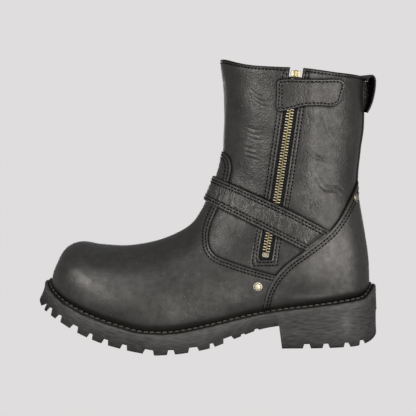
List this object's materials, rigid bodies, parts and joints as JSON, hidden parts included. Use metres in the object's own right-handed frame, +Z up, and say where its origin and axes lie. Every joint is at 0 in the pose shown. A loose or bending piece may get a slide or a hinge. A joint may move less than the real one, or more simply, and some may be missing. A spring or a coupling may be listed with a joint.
{
  "type": "motorcycle boot",
  "caption": "Black leather engineer boot for the right foot with side zip, instep strap, heel counter and lugged rubber sole.",
  "frame": {"origin": "on the floor under the middle of the boot's bounding box", "axes": "+X from toe to heel, -Y the inner side with the zip, +Z up"},
  "size_m": [0.3139, 0.115, 0.2601],
  "materials": {
    "leather": "semi-matte oiled black",
    "grained_leather": "fine wrinkled grain, black",
    "zip_cloth": "woven tape",
    "brass": "antique",
    "rubber": "matte",
    "insole_board": "plain"
  },
  "bodies": {
    "root": {"upper": "leather", "counter": "leather", "strap": "grained_leather", "zip_flap": "grained_leather", "backstay": "leather", "pull_loop": "leather", "zip_tape": "zip_cloth", "zip_chain": "brass", "zip_slider": "brass", "zip_stop": "brass", "rivet_side": "brass", "rivet_back": "brass", "welt": "leather", "outsole": "rubber", "heel": "rubber", "insole": "insole_board"}
  },
  "joints": []
}
